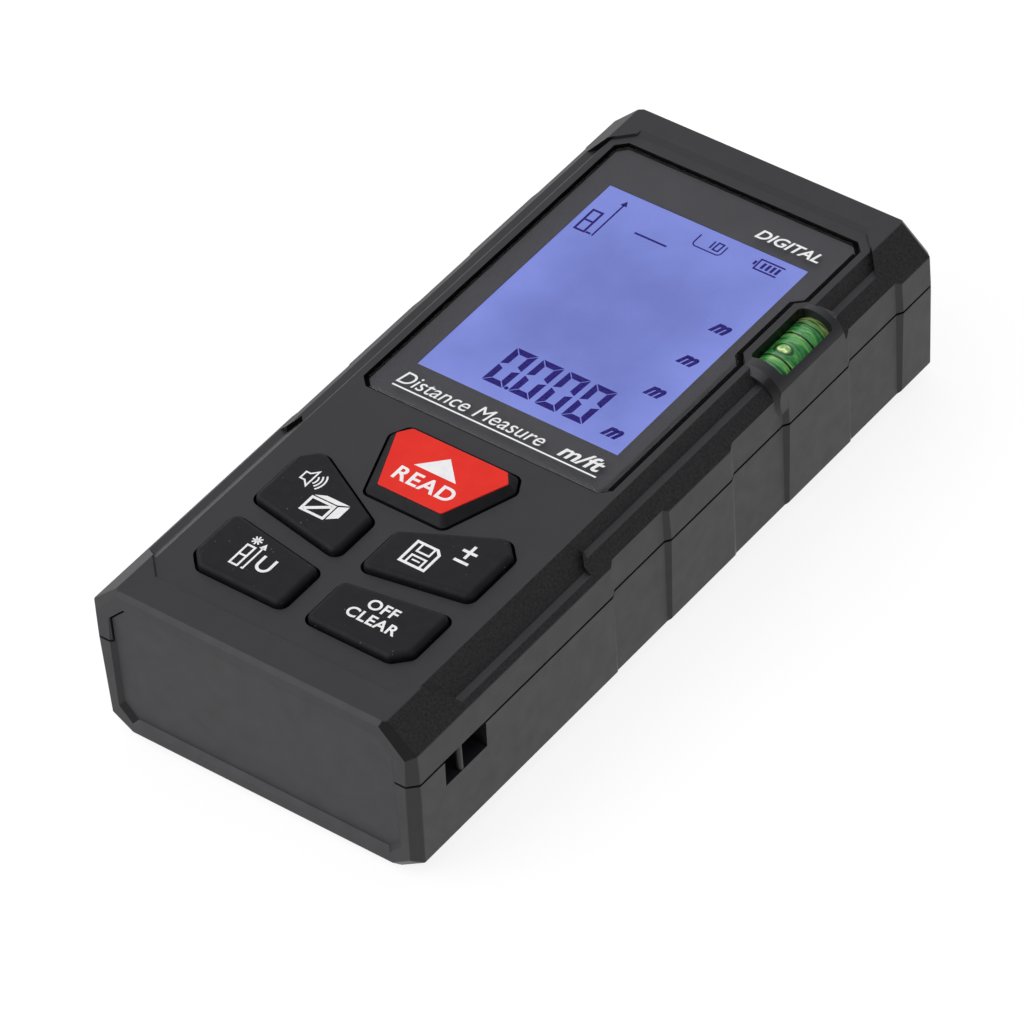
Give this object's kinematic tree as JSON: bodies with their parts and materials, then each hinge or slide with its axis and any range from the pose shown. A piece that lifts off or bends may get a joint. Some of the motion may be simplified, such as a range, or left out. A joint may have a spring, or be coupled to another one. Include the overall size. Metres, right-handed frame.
{
  "type": "laser distance meter",
  "caption": "Pocket laser distance meter with a backlit display, rubber keypad, side level vial, strap slot and a tilt-out battery cover.",
  "frame": {"origin": "middle of the back face, on the plane the meter lies on", "axes": "+Y along the length towards the laser end, +Z out of the screen, +X to the right as the screen is read"},
  "size_m": [0.051, 0.112, 0.026],
  "materials": {
    "case": "fine texture, satin",
    "cover": "fine texture, satin",
    "panel_gloss": "gloss black",
    "window": "clear, hard coated",
    "mask": "printed dark grey",
    "lcd": "backlit liquid crystal, blue",
    "light_guide": "translucent white",
    "key_rubber": "matt silicone",
    "key_red": "satin red",
    "carbon": "carbon loaded",
    "board": "green solder mask",
    "chip": "moulded epoxy",
    "gold": "gold plated",
    "flex": "amber film",
    "acrylic": "clear acrylic",
    "liquid": "green vial liquid",
    "bubble": "trapped air",
    "foam": "closed-cell foam",
    "cell_wrap": "printed sleeve",
    "spring_steel": "nickel plated",
    "screw_steel": "black zinc",
    "bracket": "glass-filled, matt black",
    "barrel_brass": "turned",
    "lens": "coated optical glass",
    "filter": "red filter glass",
    "can_steel": "plated can"
  },
  "bodies": {
    "case": {"upper_shell": "case", "lower_shell": "case", "front_panel": "panel_gloss", "display_window": "window", "window_mask": "mask", "lcd_panel": "lcd", "lcd_backlight": "light_guide", "lcd_holder": "light_guide", "keypad_web": "key_rubber", "main_pcb": "board", "receiver_board": "board", "pcb_chips": "chip", "buzzer": "chip", "board_header": "chip", "key_contact_pads": "gold", "lcd_ribbon": "flex", "laser_flex": "flex", "vial_tube": "acrylic", "vial_plugs": "acrylic", "vial_liquid": "liquid", "battery_cell_a": "cell_wrap", "battery_cell_b": "cell_wrap", "battery_contacts": "spring_steel", "battery_springs": "spring_steel", "case_screws": "screw_steel", "pcb_screws": "screw_steel", "bracket_screws": "screw_steel", "optics_bracket": "bracket", "receiver_shroud": "bracket", "laser_barrel": "barrel_brass", "collimator_lens": "lens", "receiver_lens": "lens", "laser_window": "lens", "receiver_window": "filter", "laser_diode": "can_steel", "photodiode": "can_steel"},
    "cover": {"battery_cover": "cover", "cover_pad": "foam"},
    "bubble": {"vial_bubble": "bubble"},
    "key_read": {"key_read": "key_rubber", "pill_read": "carbon", "key_read_cap": "key_red"},
    "key_function": {"key_function": "key_rubber", "pill_function": "carbon"},
    "key_save": {"key_save": "key_rubber", "pill_save": "carbon"},
    "key_unit": {"key_unit": "key_rubber", "pill_unit": "carbon"},
    "key_off": {"key_off": "key_rubber", "pill_off": "carbon"}
  },
  "joints": [
    {"name": "press_read", "type": "slide", "parent": "case", "child": "key_read", "axis": [0, 0, -1], "range_m": [0, 0.0008], "stiffness_N_per_m": 600},
    {"name": "press_function", "type": "slide", "parent": "case", "child": "key_function", "axis": [0, 0, -1], "range_m": [0, 0.0008], "stiffness_N_per_m": 600},
    {"name": "press_save", "type": "slide", "parent": "case", "child": "key_save", "axis": [0, 0, -1], "range_m": [0, 0.0008], "stiffness_N_per_m": 600},
    {"name": "press_unit", "type": "slide", "parent": "case", "child": "key_unit", "axis": [0, 0, -1], "range_m": [0, 0.0008], "stiffness_N_per_m": 600},
    {"name": "press_off", "type": "slide", "parent": "case", "child": "key_off", "axis": [0, 0, -1], "range_m": [0, 0.0008], "stiffness_N_per_m": 600},
    {"name": "cover_open", "type": "hinge", "parent": "case", "child": "cover", "pos_m": [0, -0.00215, 0], "axis": [1, 0, 0], "range_deg": [0, 60]},
    {"name": "bubble_drift", "type": "slide", "parent": "case", "child": "bubble", "axis": [0, 1, 0], "range_m": [-0.0032, 0.0056]}
  ]
}
